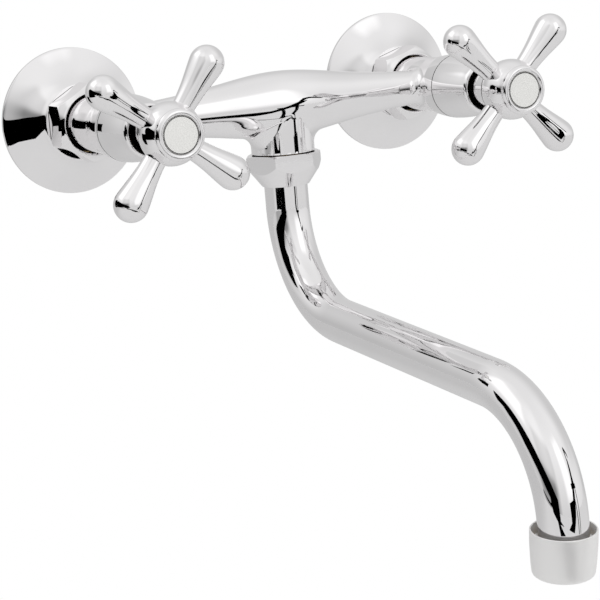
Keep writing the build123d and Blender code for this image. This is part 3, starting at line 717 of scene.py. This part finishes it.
def round_bar(p, centre, axis, table):
    """Distance and outward normal from a turned bar, for many points."""
    s = p[:, axis]
    across = p - centre
    across[:, axis] = 0.0
    rho = np.maximum(np.linalg.norm(across, axis=1), TINY)
    radius = np.interp(s, table[:, 0], table[:, 1])
    slope = np.interp(s, table[:, 0], np.gradient(table[:, 1], table[:, 0]))
    steep = np.sqrt(1 + slope**2)
    normal = across / rho[:, None]
    normal[:, axis] = -slope
    return (rho - radius) / steep, normal / steep[:, None]


def filleted(first, second, size):
    """Union of two surfaces with a rolling-ball fillet."""
    (a, na), (b, nb) = first, second
    c = np.clip(np.sum(na * nb, axis=1), -SAME_WAY, SAME_WAY)
    ra, rb = size - a, size - b
    alpha = (ra - c * rb) / (1 - c**2)
    beta = (rb - c * ra) / (1 - c**2)
    to_ball = alpha[:, None] * na + beta[:, None] * nb
    gap = np.maximum(np.linalg.norm(to_ball, axis=1), TINY)
    inside = (alpha > 0) & (beta > 0)
    distance = np.where(inside, size - gap, np.minimum(a, b))
    nearest = np.where((a < b)[:, None], na, nb)
    return distance, np.where(inside[:, None], to_ball / gap[:, None], nearest)


def body_surface(p, tables):
    """Distance and outward normal from the cast body's outside, for many points."""
    bar_table, barrel_table = tables
    bar_distance, bar_normal = round_bar(p, np.array((0.0, -bar_t, 0.0)), 0, bar_table)
    bar = (np.where(np.abs(p[:, 0]) < inlet_centres / 2, bar_distance, FAR), bar_normal)
    boss_across = p - np.array((0.0, -bar_t, 0.0))
    boss_across[:, 2] = 0.0
    rho = np.maximum(np.linalg.norm(boss_across, axis=1), TINY)
    boss_distance = np.where(p[:, 2] < 0, rho - boss_r, FAR)
    shape = filleted(bar, (boss_distance, boss_across / rho[:, None]), boss_fillet)
    mirrored = p * np.array((1.0, -1.0, 1.0))
    for sign in SIDES.values():
        centre = np.array((sign * inlet_centres / 2, 0.0, 0.0))
        distance, normal = round_bar(mirrored, centre, 1, barrel_table)
        shape = filleted(shape, (distance, normal * np.array((1.0, -1.0, 1.0))), barrel_fillet)
    return shape


def cast_body():
    """Two barrels, the crossbar and the spout boss, as one smooth casting."""
    tables = body_primitives()
    half = inlet_centres / 2
    start_t, end_t, foot_z = neck_back_t - body_over, barrel_end_t + body_over, boss_end_z - body_over
    bar_outline = [(0.0, -half), *[(r, x) for x, r in tables[0][::rough_every]], (0.0, half)]
    barrel = [(r, t) for t, r in tables[1][::rough_every] if start_t < t < end_t]
    barrel = [(0.0, start_t), *barrel, (0.0, end_t)]
    boss = [(0.0, 0.0), (boss_r, 0.0), (boss_r, foot_z), (0.0, foot_z)]
    down = Matrix.Translation((0, -bar_t, 0))
    across = down @ Matrix.Rotation(math.radians(90), 4, "Y")
    placed = [(bar_outline, across), *[(barrel, valve_place(side)) for side in SIDES], (boss, down)]
    rough = [(turned(outline, closed=False, steps=ROUGH_STEPS), place) for outline, place in placed]
    mesh = bpy.data.meshes.new("rough_body")
    whole = joined(*rough)
    whole.to_mesh(mesh)
    whole.free()
    obj = bpy.data.objects.new("rough_body", mesh)
    bpy.context.scene.collection.objects.link(obj)
    remesh = obj.modifiers.new("facets", "REMESH")
    remesh.mode = "VOXEL"
    remesh.voxel_size = body_facet
    bm = bmesh.new()
    bm.from_mesh(obj.evaluated_get(bpy.context.evaluated_depsgraph_get()).to_mesh())
    bpy.data.objects.remove(obj)
    bpy.data.meshes.remove(mesh)

    def settle(rounds):
        for _ in range(rounds):
            p = np.array([v.co for v in bm.verts])
            distance, normal = body_surface(p, tables)
            p -= distance[:, None] * normal
            for vert, place in zip(bm.verts, p):
                vert.co = place

    # Facets settle on the true surface while smoothing evens out their spacing
    for _ in range(smooth_rounds):
        settle(settle_rounds)
        bmesh.ops.smooth_vert(
            bm, verts=bm.verts, factor=0.5, use_axis_x=True, use_axis_y=True, use_axis_z=True
        )
    # Open ends, then the edge lines of the groove round each barrel
    ends = (
        ((0, -neck_back_t, 0), (0, 1, 0)),
        ((0, -barrel_end_t, 0), (0, -1, 0)),
        ((0, 0, boss_end_z), (0, 0, -1)),
    )
    for place, normal in ends:
        geom = bm.verts[:] + bm.edges[:] + bm.faces[:]
        bmesh.ops.bisect_plane(bm, geom=geom, plane_co=place, plane_no=normal, clear_outer=True)
    barrel_x = half - barrel_zone
    for t in (groove_t - groove_half_width, groove_t, groove_t + groove_half_width):
        barrels = [f for f in bm.faces if abs(f.calc_center_median().x) > barrel_x]
        verts = {v for f in barrels for v in f.verts}
        edges = {e for f in barrels for e in f.edges}
        bmesh.ops.bisect_plane(
            bm, geom=list(verts) + list(edges) + barrels, plane_co=(0, -t, 0), plane_no=(0, 1, 0)
        )
    settle(last_settle_rounds)
    for vert in bm.verts:
        if abs(vert.co.y + groove_t) < ON_PLANE and abs(vert.co.x) > barrel_x:
            axis = Vector((math.copysign(half, vert.co.x), vert.co.y, 0.0))
            vert.co += (axis - vert.co).normalized() * groove_depth
    # Flat lips turned inwards at the open ends
    rims = [e for e in bm.edges if e.is_boundary]
    made = bmesh.ops.extrude_edge_only(bm, edges=rims)["geom"]
    lips = [v for v in made if isinstance(v, bmesh.types.BMVert)]
    for vert in lips:
        if vert.co.z < boss_end_z + ON_PLANE:
            centre = Vector((0, -bar_t, vert.co.z))
        else:
            centre = Vector((math.copysign(half, vert.co.x), vert.co.y, 0))
        vert.co += (centre - vert.co).normalized() * rim_wall
    bm.normal_update()
    bm.faces.index_update()
    lip_set = set(lips)
    flat_faces = set()
    # Painted shade: the lips at the open ends and the neck behind the nut's front take the near-black
    # material, as the shadow in these gaps
    for face in bm.faces:
        if any(v in lip_set for v in face.verts):
            flat_faces.add(face.index)
            face.material_index = 1
        centre = face.calc_center_median()
        if centre.y > -nut_front_t + neck_hidden:
            face.material_index = 1
        if abs(centre.y + groove_t) < groove_half_width and abs(centre.x) > barrel_x:
            flat_faces.add(face.index)
    # Shading follows the true surface, except on the lips and in the groove
    points = np.array([v.co for v in bm.verts])
    _, normals = body_surface(points, tables)
    corner_normals = []
    bm.verts.index_update()
    for face in bm.faces:
        for vert in face.verts:
            if face.index in flat_faces:
                corner_normals.append(face.normal.copy())
            else:
                corner_normals.append(Vector(normals[vert.index]))
    piece = finished("mixer_body_chromed", bm, chrome, "fixed", ["mixer_body"], weighted=False)
    piece.data.normals_split_custom_set(corner_normals)


def shroud(side):
    """Bell over the headwork with an open, rounded mouth."""
    length = shroud_front_t - shroud_back_t
    seam_in, seam_up = shroud_seam
    edge_out, edge_down = shroud_mouth_edge
    web_back_t = shroud_web_front_t - shroud_web
    shape = [(barrel_end_r, shroud_back_t + seam_up)]
    for a, b in shroud_curve:
        shape.append((between(barrel_end_r, shroud_front_r, b), shroud_back_t + length * a))
    shape.append((shroud_front_r, shroud_front_t))
    outline = spline(shape, shroud_steps) + [
        (shroud_mouth_r + edge_out, shroud_front_t),
        (shroud_mouth_r, shroud_front_t - edge_down),
        (shroud_mouth_r, shroud_web_front_t),
        (shroud_web_r, shroud_web_front_t),
        (shroud_web_r, web_back_t),
        *shroud_inside,
        (barrel_end_r - shroud_wall, shroud_back_t),
        (barrel_end_r - seam_in, shroud_back_t),
    ]
    node = side + "_shroud"
    bell = turned(outline)
    # Painted shade: the faces inside the mouth take the near-black material
    paint_shade_inside(bell, shroud_mouth_r, shroud_front_t, shroud_shade_reach)
    finished(node + "_chromed", bell, chrome, "fixed", [node], valve_place(side), edge=BELL_EDGE)


def handle_arm():
    """One tapering arm with a ball end, along Z from the hub's centre."""
    lean = math.asin((arm_ball_r - arm_root_r) / (arm_reach - hub_r))
    touch_r = arm_ball_r * math.cos(lean)
    touch = arm_reach - arm_ball_r * math.sin(lean)
    middle = between(hub_r, touch, arm_waist_share)
    middle_r = between(arm_root_r, touch_r, arm_waist_share) - arm_waist
    root = hub_r - arm_root_sunk
    taper = spline([
        (arm_root_r, root),
        (arm_root_r + arm_swell, hub_r - arm_skin_sunk),
        (middle_r, middle),
        (touch_r - arm_ball_lead * math.tan(lean), touch - arm_ball_lead),
        (touch_r, touch),
    ], arm_taper_steps)
    ball = []
    for k in range(1, arm_ball_steps):
        angle = between(-lean, math.pi / 2, k / arm_ball_steps)
        ball.append((arm_ball_r * math.cos(angle), arm_reach + arm_ball_r * math.sin(angle)))
    tip = (0.0, arm_reach + arm_ball_r)
    return turned([(0.0, root), *taper, *ball, tip], closed=False, steps=arm_steps)


def cross_handle(side):
    """Hub, neck and four arms."""
    face_angle = math.asin((hub_face_t - hub_t) / hub_r)
    back_angle = math.asin((hub_back_t - hub_t) / hub_r)
    ball = []
    for k in range(hub_steps + 1):
        angle = between(back_angle, face_angle, k / hub_steps)
        ball.append((hub_r * math.cos(angle), hub_t + hub_r * math.sin(angle)))
    recess_r = cap_r - hub_recess
    neck_inner_r = handle_neck_r - handle_neck_wall
    outline = [
        (neck_inner_r, handle_back_t),
        (handle_neck_r - handle_neck_edge, handle_back_t),
        (handle_neck_r, handle_back_t + handle_neck_edge),
        (handle_neck_r, hub_back_t),
        *ball,
        (recess_r, hub_face_t),
        (recess_r, hub_floor_t),
        (hub_hole_r, hub_floor_t),
        (hub_hole_r, hub_hole_t),
        (neck_inner_r, hub_hole_t),
    ]
    parts = [turned(outline)]
    for k in range(arm_count):
        spin = Matrix.Rotation(math.radians(arm_turn[side] + 360 / arm_count * k), 4, "Z")
        lay = Matrix.Translation((0, 0, arm_t)) @ spin @ Matrix.Rotation(math.radians(90), 4, "Y")
        parts.append((handle_arm(), lay))
    node = side + "_cross_handle"
    body = side + "_handle"
    finished(node + "_chromed", joined(*parts), chrome, body, [node], valve_place(side), edge=FINE_EDGE)


def index_cap(side):
    """Bezel around the index disc."""
    seat_r = disc_r + cap_seat_gap
    height = cap_top_t - hub_face_t
    plug_r = cap_r - cap_plug_in
    plug_inner_r = plug_r - cap_plug_wall
    under_t = disc_back_t - cap_floor
    outline = spline([
        (cap_r - cap_foot[0], hub_face_t + cap_foot[1]),
        *[(cap_r + out, hub_face_t + share * height) for out, share in cap_sides],
        *[(cap_r - inwards, cap_top_t - down) for inwards, down in cap_crown],
        *[(seat_r + out, cap_top_t - down) for out, down in cap_mouth],
    ], cap_steps)
    outline += [
        (seat_r, disc_back_t),
        (0.0, disc_back_t),
        (0.0, under_t),
        (plug_inner_r, under_t),
        (plug_inner_r, hub_face_t - cap_plug_depth),
        (plug_r, hub_face_t - cap_plug_side),
        (plug_r, hub_face_t),
        (cap_r - cap_underside[0], hub_face_t + cap_underside[1]),
    ]
    node = side + "_index_cap"
    body = side + "_handle"
    finished(node + "_chromed", turned(outline), chrome, body, [node], valve_place(side))


def index_disc(side):
    """White plate with a fine dark circle near its edge."""
    place = valve_place(side)
    body = side + "_handle"
    node = side + "_index_disc"
    plate = turned([
        (0.0, disc_back_t),
        (disc_r, disc_back_t),
        (disc_r, disc_face_t - disc_edge),
        (disc_r - disc_edge, disc_face_t),
        (0.0, disc_face_t),
    ])
    finished(node + "_plate", plate, white_plate, body, [node], place)
    # A thin black ring just inside the plate's edge, next to the bezel's seat
    low_t, high_t = disc_face_t - circle_sink, disc_face_t + circle_lift
    circle = turned([
        (circle_inner_r, low_t), (circle_outer_r, low_t), (circle_outer_r, high_t), (circle_inner_r, high_t),
    ])
    finished(node + "_circle", circle, edge_ring_black, body, (), place)


def spout_nut():
    """Short hexagonal nut with a conical foot around the tube."""
    corner_r = spout_nut_flats / math.sqrt(3)
    hole_r = tube_r + spout_nut_gap
    top_z, foot_z = nut_high.z, nut_low.z
    top_in, top_down = spout_nut_top
    envelope = turned([
        (0.0, foot_z),
        *[(hole_r + out, foot_z + up) for out, up in spout_nut_foot],
        (corner_r, top_z - spout_nut_side),
        (corner_r, top_z - top_down),
        (corner_r - top_in, top_z),
        (0.0, top_z),
    ])
    bm = boolean(hexagon(corner_r, foot_z, top_z, spout_nut_turn), envelope, "INTERSECT")
    bore = turned([
        (0.0, top_z + CUT_PAST),
        (spigot_r, top_z + CUT_PAST),
        (spigot_r, spigot_end_z),
        (hole_r, spigot_end_z),
        (hole_r, foot_z - CUT_PAST),
        (0.0, foot_z - CUT_PAST),
    ])
    bm = boolean(bm, bore, "DIFFERENCE")
    place = Matrix.Translation((0, -bar_t, 0))
    finished("spout_nut_chromed", bm, chrome, "fixed", ["spout_nut"], place, edge=NUT_EDGE)


def swept_tube(radius):
    """Open tube of one radius along the spout's straight runs and bends."""
    bm = bmesh.new()
    bmesh.ops.create_circle(bm, segments=tube_facets, radius=radius, cap_ends=False)
    at = Vector((0, -bar_t, tube_top_z))
    bmesh.ops.translate(bm, verts=bm.verts, vec=at)
    ring = bm.edges[:]
    heading = -math.pi / 2

    def ahead(edges, length, steps):
        way = Vector((0, math.cos(heading), math.sin(heading))) * (length / steps)
        for _ in range(steps):
            made = bmesh.ops.extrude_edge_only(bm, edges=edges)["geom"]
            edges = [g for g in made if isinstance(g, bmesh.types.BMEdge) and g.is_boundary]
            bmesh.ops.translate(bm, verts=list({v for e in edges for v in e.verts}), vec=way)
        return edges

    def bend(edges, at, size, degrees, steps):
        towards = math.copysign(math.pi / 2, degrees)
        side = Vector((0, math.cos(heading + towards), math.sin(heading + towards)))
        verts = list({v for e in edges for v in e.verts})
        made = bmesh.ops.spin(
            bm, geom=verts + edges, cent=at + side * size, axis=(1, 0, 0), angle=math.radians(degrees),
            steps=steps, use_duplicate=False,
        )["geom_last"]
        return [g for g in made if isinstance(g, bmesh.types.BMEdge)]

    ring = ahead(ring, tube_drop, drop_steps)
    at = at + Vector((0, 0, -tube_drop))
    ring = bend(ring, at, bend_a_r, -bend_a_deg, bend_a_steps)
    middle = at + Vector((0, -bend_a_r, 0))
    turn = math.radians(bend_a_deg)
    at = middle + Vector((0, math.cos(-turn), math.sin(-turn))) * bend_a_r
    heading -= turn
    ring = ahead(ring, run_length, run_steps)
    at = at + Vector((0, math.cos(heading), math.sin(heading))) * run_length
    ring = bend(ring, at, bend_b_r, bend_b_deg, bend_b_steps)
    side = Vector((0, math.cos(heading + math.pi / 2), math.sin(heading + math.pi / 2)))
    middle = at + side * bend_b_r
    turn = math.radians(bend_b_deg)
    at = middle + Matrix.Rotation(turn, 3, "X") @ (-side * bend_b_r)
    heading += turn
    ahead(ring, end_length, end_steps)
    bmesh.ops.recalc_face_normals(bm, faces=bm.faces)
    return bm, at, heading


def spout_tube():
    """Bent tube with its wall, and the outlet's place."""
    outer, bend_end, heading = swept_tube(tube_r)
    inner, _, _ = swept_tube(tube_r - tube_wall)
    bmesh.ops.reverse_faces(inner, faces=inner.faces)
    bm = joined(outer, inner)
    rims = [e for e in bm.edges if e.is_boundary]
    for low in (True, False):
        near = [e for e in rims if (e.verts[0].co.z < tube_top_z - tube_drop) == low]
        bmesh.ops.bridge_loops(bm, edges=near)
    bmesh.ops.recalc_face_normals(bm, faces=bm.faces)
    finished("spout_tube_chromed", bm, chrome, "spout", ["spout_tube"])
    way = Vector((0, math.cos(heading), math.sin(heading)))
    origin = bend_end - way * rim_above_bend
    side = Vector((1, 0, 0))
    other = way.cross(side)
    return Matrix.Translation(origin) @ Matrix((side, other, way)).transposed().to_4x4()


def aerator(place):
    """Satin sleeve with an open top ring and a turned-in foot."""
    shape = [(aerator_r, sleeve_band)]
    shape += [(aerator_r - by, aerator_length * share) for share, by in sleeve_taper]
    shape.append((sleeve_foot_r, aerator_length))
    well_r = aerator_r - aerator_rim_wall
    (inner_edge, inner_down), (outer_edge, outer_down) = aerator_rim_edge
    outline = spline(shape) + [
        (aerator_inside[0][0], aerator_length),
        *aerator_inside,
        (aerator_inside[-1][0], aerator_well + aerator_well_chamfer),
        (well_r, aerator_well),
        (well_r, inner_down),
        (well_r + inner_edge, 0.0),
        (aerator_r - outer_edge, 0.0),
        (aerator_r, outer_down),
    ]
    sleeve = turned(outline)
    finished("aerator_housing_satin", sleeve, satin, "spout", ["aerator_housing"], place, edge=SLEEVE_EDGE)


def camera():
    """Camera at the photograph's place, turned with its roll."""
    a, e, r = (math.radians(v) for v in (camera_azimuth, camera_elevation, camera_roll))
    right = Vector((math.cos(a), math.sin(a), 0))
    ahead = Vector((-math.sin(a) * math.cos(e), math.cos(a) * math.cos(e), -math.sin(e)))
    up = right.cross(ahead)
    rolled_right = right * math.cos(r) + up * math.sin(r)
    rolled_up = up * math.cos(r) - right * math.sin(r)
    data = bpy.data.cameras.new("photo_camera")
    data.lens = camera_lens
    data.sensor_width = camera_sensor
    data.clip_start, data.clip_end = camera_clip
    cam = bpy.data.objects.new("photo_camera", data)
    bpy.context.scene.collection.objects.link(cam)
    turn = Matrix((rolled_right, rolled_up, -ahead)).transposed()
    cam.matrix_world = Matrix.Translation(Vector(camera_at) * MM) @ turn.to_4x4()
    bpy.context.scene.camera = cam


def surround():
    """Soft white surround, dimmer below, with soft-edged panels of more or less light."""
    world = bpy.data.worlds.new("studio_white")
    world.use_nodes = True
    bpy.context.scene.world = world
    tree = world.node_tree
    add, link = tree.nodes.new, tree.links.new

    def maths(operation, *values):
        node = add("ShaderNodeMath")
        node.operation = operation
        for place, value in enumerate(values):
            if isinstance(value, (int, float)):
                node.inputs[place].default_value = value
            else:
                link(value, node.inputs[place])
        return node.outputs["Value"]

    def rise(value, start, end, low=0.0, high=1.0):
        node = add("ShaderNodeMapRange")
        node.interpolation_type = "SMOOTHSTEP"
        for name, number in (("From Min", start), ("From Max", end), ("To Min", low), ("To Max", high)):
            node.inputs[name].default_value = number
        link(value, node.inputs["Value"])
        return node.outputs["Result"]

    where = add("ShaderNodeTexCoord")
    split = add("ShaderNodeSeparateXYZ")
    link(where.outputs["Generated"], split.inputs["Vector"])
    x, y, z = (split.outputs[axis] for axis in "XYZ")
    azimuth = maths("DEGREES", maths("ARCTAN2", x, maths("MULTIPLY", y, -1.0)))
    elevation = maths("DEGREES", maths("ARCSINE", z))
    total = rise(z, *LIGHT_RISE, LOW_LIGHT, TOP_LIGHT)
    for a0, a1, e0, e1, soft, gain in LIGHT_PANELS:
        panel = maths("MULTIPLY", rise(azimuth, a0 - soft, a0 + soft), rise(azimuth, a1 + soft, a1 - soft))
        for edge in (rise(elevation, e0 - soft, e0 + soft), rise(elevation, e1 + soft, e1 - soft)):
            panel = maths("MULTIPLY", panel, edge)
        total = maths("ADD", total, maths("MULTIPLY", panel, gain))
    seen = add("ShaderNodeLightPath")
    pick = add("ShaderNodeMix")
    pick.data_type = "FLOAT"
    link(seen.outputs["Is Camera Ray"], pick.inputs["Factor"])
    link(total, pick.inputs["A"])
    pick.inputs["B"].default_value = 1.0
    background = tree.nodes["Background"]
    link(pick.outputs["Result"], background.inputs["Strength"])
    background.inputs["Color"].default_value = (1.0, 1.0, 1.0, 1.0)


def card(name, outline, place, material):
    """Flat card that only reflections see; its outline is in the card's own plane."""
    bm = bmesh.new()
    sheet = bm.faces.new([bm.verts.new((u, v, 0.0)) for u, v in outline])
    sheet.normal_update()
    bmesh.ops.triangulate(bm, faces=[sheet], ngon_method="EAR_CLIP")
    bm.transform(place)
    bm.transform(Matrix.Scale(MM, 4))
    mesh = bpy.data.meshes.new(name)
    bm.to_mesh(mesh)
    bm.free()
    mesh.materials.append(material)
    piece = bpy.data.objects.new(name, mesh)
    piece.visible_camera = False
    piece.visible_diffuse = False
    piece.visible_shadow = False
    bpy.context.scene.collection.objects.link(piece)


def studio():
    """Surround, pale floor that is clear from below, and the black cards that the chrome reflects."""
    surround()
    bm = bmesh.new()
    bmesh.ops.create_grid(bm, x_segments=1, y_segments=1, size=FLOOR_HALF)
    bm.transform(Matrix.Translation((0, 0, FLOOR_Z)))
    bm.transform(Matrix.Scale(MM, 4))
    mesh = bpy.data.meshes.new("floor")
    bm.to_mesh(mesh)
    bm.free()
    material, tree, shader = new_material("pale_floor")
    where = tree.nodes.new("ShaderNodeTexCoord")
    split = tree.nodes.new("ShaderNodeSeparateXYZ")
    tree.links.new(where.outputs["Object"], split.inputs["Vector"])
    shade = tree.nodes.new("ShaderNodeMapRange")
    shade.interpolation_type = "SMOOTHSTEP"
    shade.inputs["From Min"].default_value, shade.inputs["From Max"].default_value = FLOOR_SHADE
    shade.inputs["To Min"].default_value = FLOOR_WHITE
    shade.inputs["To Max"].default_value = FLOOR_WHITE_AT_WALL
    tree.links.new(split.outputs["Y"], shade.inputs["Value"])
    tree.links.new(shade.outputs["Result"], shader.inputs["Base Color"])
    shader.inputs["Roughness"].default_value = FLOOR_ROUGHNESS
    glow = tree.nodes.new("ShaderNodeEmission")
    glow.inputs["Strength"].default_value = 1.0
    both = tree.nodes.new("ShaderNodeMixShader")
    seen = tree.nodes.new("ShaderNodeLightPath")
    beneath = tree.nodes.new("ShaderNodeNewGeometry")
    clear = tree.nodes.new("ShaderNodeBsdfTransparent")
    face = tree.nodes.new("ShaderNodeMixShader")
    tree.links.new(beneath.outputs["Backfacing"], face.inputs["Fac"])
    tree.links.new(glow.outputs["Emission"], face.inputs[1])
    tree.links.new(clear.outputs["BSDF"], face.inputs[2])
    tree.links.new(seen.outputs["Is Camera Ray"], both.inputs["Fac"])
    tree.links.new(shader.outputs["BSDF"], both.inputs[1])
    tree.links.new(face.outputs["Shader"], both.inputs[2])
    tree.links.new(both.outputs["Shader"], tree.nodes["Material Output"].inputs["Surface"])
    mesh.materials.append(material)
    floor = bpy.data.objects.new("floor", mesh)
    bpy.context.scene.collection.objects.link(floor)
    black, _, shader = new_material("black_card")
    shader.inputs["Base Color"].default_value = (0.0, 0.0, 0.0, 1.0)
    shader.inputs["Specular IOR Level"].default_value = 0.0
    for number, (axis, place, outline) in enumerate(CARDS):
        if axis == "x":
            stands = Matrix(((0, 0, 1, place), (1, 0, 0, 0), (0, 1, 0, 0), (0, 0, 0, 1)))
        else:
            stands = Matrix(((1, 0, 0, 0), (0, 0, -1, place), (0, 1, 0, 0), (0, 0, 0, 1)))
        card("card_%d" % number, outline, stands, black)


bpy.context.scene.view_settings.view_transform = "Standard"
camera()
dress_cad_nodes()
for side in SIDES:
    wall_union(side)
    wall_flange(side)
    union_nut(side)
    shroud(side)
    cross_handle(side)
    index_cap(side)
    index_disc(side)
cast_body()
spout_nut()
aerator(spout_tube())
studio()
